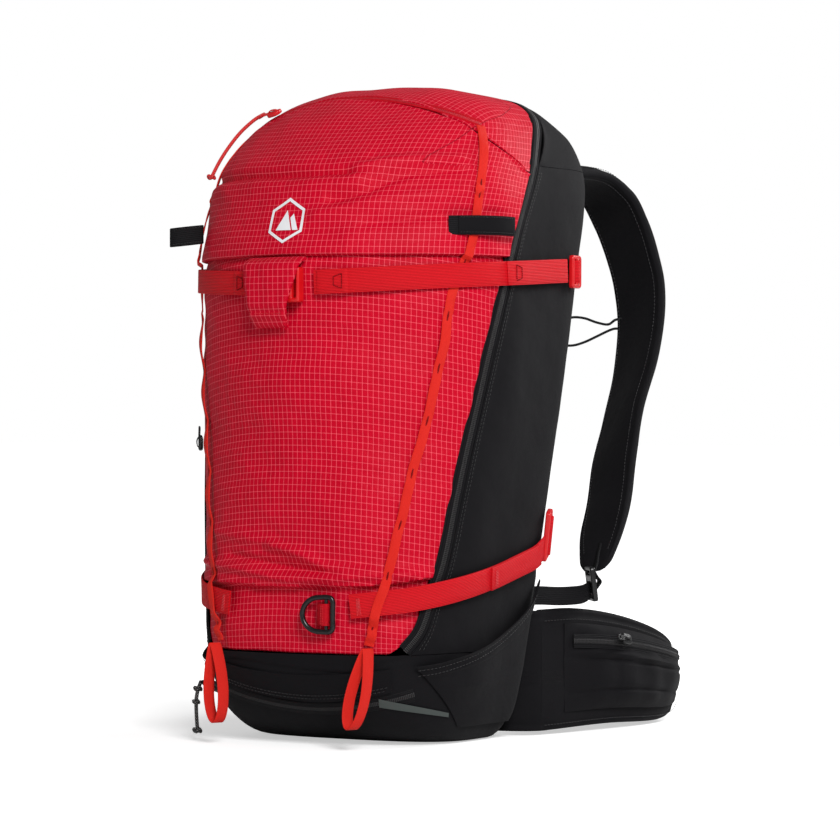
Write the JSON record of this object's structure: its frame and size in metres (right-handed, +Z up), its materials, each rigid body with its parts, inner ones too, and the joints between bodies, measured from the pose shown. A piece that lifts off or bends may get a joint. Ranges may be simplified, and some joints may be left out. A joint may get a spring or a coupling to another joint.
{
  "type": "ski backpack",
  "caption": "Tall rounded ski backpack with clamshell zip, top pocket, compression straps, gear loops, padded shoulder straps and hip belt.",
  "frame": {"origin": "on the ground under the bag, in the middle of its width, on the flat part of the base", "axes": "+X to the right seen from the front, +Y towards the wearer's back, +Z up"},
  "size_m": [0.3434, 0.4682, 0.555],
  "materials": {
    "ripstop": "coated ripstop weave, slightly crinkled",
    "black_nylon": "heavy plain weave",
    "stretch": "matt stretch woven",
    "back_mesh": "open spacer mesh",
    "red_webbing": "ribbed webbing",
    "orange_tape": "narrow woven tape",
    "black_webbing": "ribbed webbing",
    "red_plastic": "moulded, satin",
    "black_plastic": "moulded, satin",
    "red_cord": "braided",
    "black_cord": "braided with white flecks",
    "zip": "coil zip with woven tape",
    "frame_sheet": "moulded sheet"
  },
  "bodies": {
    "bag": {"front_panel": "ripstop", "upper_pocket_panel": "ripstop", "top_panel": "ripstop", "top_back_panel": "black_nylon", "base_panel": "black_nylon", "side_panel_right": "black_nylon", "side_panel_left": "black_nylon", "back_panel": "back_mesh", "main_zip": "zip", "side_pocket_right": "stretch", "side_pocket_left": "stretch", "base_pocket_flap": "black_nylon", "upper_strap_right": "red_webbing", "upper_strap_left": "red_webbing", "lower_strap_right": "red_webbing", "lower_strap_left": "red_webbing", "upper_lock_right": "red_plastic", "upper_lock_left": "red_plastic", "lower_buckle_right": "red_plastic", "lower_buckle_left": "red_plastic", "front_buckle_socket": "red_plastic", "front_buckle_plug": "red_plastic", "daisy_chain_right": "orange_tape", "daisy_chain_left": "orange_tape", "d_ring_tab": "red_webbing", "haul_loop": "black_webbing", "back_pad_right": "back_mesh", "back_pad_left": "back_mesh", "lumbar_pad": "back_mesh", "frame_sheet": "frame_sheet"},
    "ring": {"d_ring": "black_plastic"},
    "flap": {"buckle_flap": "ripstop"},
    "gear_loop_right": {"gear_loop_right": "orange_tape"},
    "gear_loop_left": {"gear_loop_left": "orange_tape"},
    "pole_band_right": {"pole_band_right": "black_webbing"},
    "pole_band_left": {"pole_band_left": "black_webbing"},
    "belt_right": {"hip_wing_right": "black_nylon", "hip_pocket_right": "black_nylon", "belt_web_right": "black_webbing", "belt_buckle_socket": "black_plastic"},
    "belt_left": {"hip_wing_left": "black_nylon", "hip_pocket_left": "black_nylon", "belt_web_left": "black_webbing", "belt_buckle_plug": "black_plastic"},
    "strap_right": {"shoulder_strap_right": "back_mesh", "strap_lock_right": "black_plastic", "strap_web_right": "black_webbing", "sternum_cord": "black_cord", "sternum_hook": "black_plastic"},
    "strap_left": {"shoulder_strap_left": "back_mesh", "strap_lock_left": "black_plastic", "strap_web_left": "black_webbing", "sternum_tab": "black_webbing"},
    "top_slider": {"top_slider": "red_plastic"},
    "top_pull": {"top_pull": "red_cord"},
    "base_slider": {"base_slider": "black_plastic"},
    "base_pull": {"base_pull": "black_cord"},
    "main_slider": {"main_slider": "black_plastic"},
    "hip_slider_right": {"hip_slider_right": "black_plastic"},
    "hip_slider_left": {"hip_slider_left": "black_plastic"}
  },
  "joints": [
    {"name": "d_ring_swing", "type": "hinge", "parent": "bag", "child": "ring", "pos_m": [0.04456, -0.11154, 0.11008], "axis": [0, 0, 1], "range_deg": [0, 150]},
    {"name": "buckle_flap_lift", "type": "hinge", "parent": "bag", "child": "flap", "pos_m": [-0.008, -0.114, 0.402], "axis": [-1, 0, 0], "range_deg": [0, 110]},
    {"name": "gear_loop_right_swing", "type": "hinge", "parent": "bag", "child": "gear_loop_right", "pos_m": [0.07491, -0.10673, 0.08285], "axis": [-1, 0, 0], "range_deg": [0, 100]},
    {"name": "gear_loop_left_swing", "type": "hinge", "parent": "bag", "child": "gear_loop_left", "pos_m": [-0.07491, -0.10673, 0.08285], "axis": [-1, 0, 0], "range_deg": [0, 100]},
    {"name": "pole_band_right_open", "type": "hinge", "parent": "bag", "child": "pole_band_right", "pos_m": [0.12107, -0.05315, 0.42827], "axis": [0, 0, -1], "range_deg": [0, 100]},
    {"name": "pole_band_left_bend", "type": "hinge", "parent": "bag", "child": "pole_band_left", "pos_m": [-0.12133, -0.05009, 0.428], "axis": [0, 0, 1], "range_deg": [-30, 30], "stiffness_Nm_per_rad": 0.02},
    {"name": "belt_right_open", "type": "hinge", "parent": "bag", "child": "belt_right", "pos_m": [0.118, 0.098, 0.05], "axis": [0, 0, -1], "range_deg": [0, 60]},
    {"name": "belt_left_open", "type": "hinge", "parent": "bag", "child": "belt_left", "pos_m": [-0.118, 0.098, 0.05], "axis": [0, 0, 1], "range_deg": [0, 60]},
    {"name": "strap_right_spread", "type": "hinge", "parent": "bag", "child": "strap_right", "pos_m": [0.084, 0.17, 0.466], "axis": [0.1234, -0.1935, -0.9733], "range_deg": [0, 20]},
    {"name": "strap_left_spread", "type": "hinge", "parent": "bag", "child": "strap_left", "pos_m": [-0.084, 0.17, 0.466], "axis": [0.1234, 0.1935, 0.9733], "range_deg": [0, 20]},
    {"name": "top_zip_slide", "type": "slide", "parent": "bag", "child": "top_slider", "axis": [0.9779, -0.0529, 0.2022], "range_m": [0, 0.04]},
    {"name": "top_pull_swing", "type": "hinge", "parent": "top_slider", "child": "top_pull", "pos_m": [-0.09848, -0.00451, 0.52969], "axis": [-0.6041, 0.795, 0.0548], "range_deg": [0, 80]},
    {"name": "base_zip_slide", "type": "slide", "parent": "bag", "child": "base_slider", "axis": [0.9616, -0.1315, -0.2408], "range_m": [0, 0.045]},
    {"name": "base_pull_swing", "type": "hinge", "parent": "base_slider", "child": "base_pull", "pos_m": [-0.10255, -0.08677, 0.04882], "axis": [-0.6606, 0.7507, 0], "range_deg": [0, 80]},
    {"name": "main_zip_slide", "type": "slide", "parent": "bag", "child": "main_slider", "axis": [0.1259, -0.187, -0.9742], "range_m": [0, 0.08]},
    {"name": "hip_zip_right_slide", "type": "slide", "parent": "belt_right", "child": "hip_slider_right", "axis": [0.0904, 0.9815, -0.1689], "range_m": [0, 0.08]},
    {"name": "hip_zip_left_slide", "type": "slide", "parent": "belt_left", "child": "hip_slider_left", "axis": [-0.0904, 0.9815, -0.1689], "range_m": [0, 0.08]}
  ],
  "couplings": [
    {"joint": "top_pull_swing", "follows": "top_zip_slide", "rad_per_m": 10.5}
  ]
}
